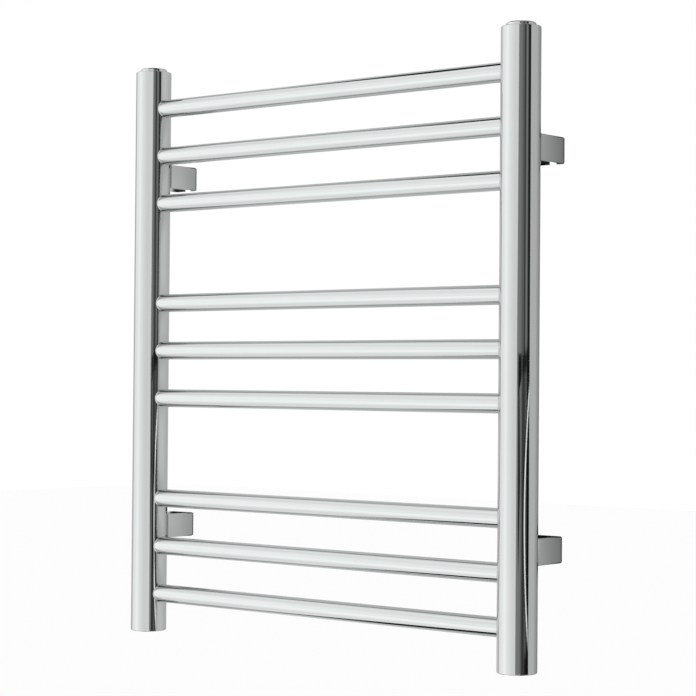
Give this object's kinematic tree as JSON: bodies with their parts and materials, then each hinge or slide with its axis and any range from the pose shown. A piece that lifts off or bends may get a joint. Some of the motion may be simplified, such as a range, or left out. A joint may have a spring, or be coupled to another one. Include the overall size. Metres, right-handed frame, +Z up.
{
  "type": "towel warmer rack",
  "caption": "Wall-hung chrome ladder rack of round rails between two round collectors, on square wall brackets, with vent, plug and threaded water sockets.",
  "frame": {"origin": "centre of the four wall screws, on the wall plane", "axes": "+X to the right along the rails, +Y into the wall, +Z up along the collectors; the front faces -Y"},
  "size_m": [0.518, 0.0724, 0.6056],
  "materials": {
    "chrome": "mirror-polished chrome plate on steel",
    "welded_steel": "turned steel",
    "screw_steel": "zinc-plated steel",
    "wall_block": "glass-filled nylon, matt",
    "brass": "turned brass",
    "rubber": "EPDM"
  },
  "bodies": {
    "wall_blocks": {"wall_block_upper_left": "wall_block", "wall_block_upper_right": "wall_block", "wall_block_lower_left": "wall_block", "wall_block_lower_right": "wall_block"},
    "rack": {"collector_left": "chrome", "collector_right": "chrome", "rail_1": "chrome", "rail_2": "chrome", "rail_3": "chrome", "rail_4": "chrome", "rail_5": "chrome", "rail_6": "chrome", "rail_7": "chrome", "rail_8": "chrome", "rail_9": "chrome", "vent_body": "chrome", "blank_plug": "chrome", "bracket_upper_left": "chrome", "bracket_upper_right": "chrome", "bracket_lower_left": "chrome", "bracket_lower_right": "chrome", "top_ring_left": "welded_steel", "top_ring_right": "welded_steel", "bottom_socket_left": "welded_steel", "bottom_socket_right": "welded_steel", "boss_upper_left": "welded_steel", "boss_upper_right": "welded_steel", "boss_lower_left": "welded_steel", "boss_lower_right": "welded_steel", "screw_upper_left": "screw_steel", "screw_upper_right": "screw_steel", "screw_lower_left": "screw_steel", "screw_lower_right": "screw_steel", "grub_upper_left": "screw_steel", "grub_upper_right": "screw_steel", "grub_lower_left": "screw_steel", "grub_lower_right": "screw_steel", "vent_seal": "rubber", "blank_seal": "rubber"},
    "bleed": {"bleed_screw": "brass", "bleed_seal": "rubber"}
  },
  "joints": [
    {"name": "wall_adjust", "type": "slide", "parent": "wall_blocks", "child": "rack", "axis": [0, -1, 0], "range_m": [0, 0.01]},
    {"name": "bleed_turn", "type": "hinge", "parent": "rack", "child": "bleed", "pos_m": [0.24, -0.0535, 0.301], "axis": [0, 0, 1], "range_deg": [0, 180]}
  ]
}
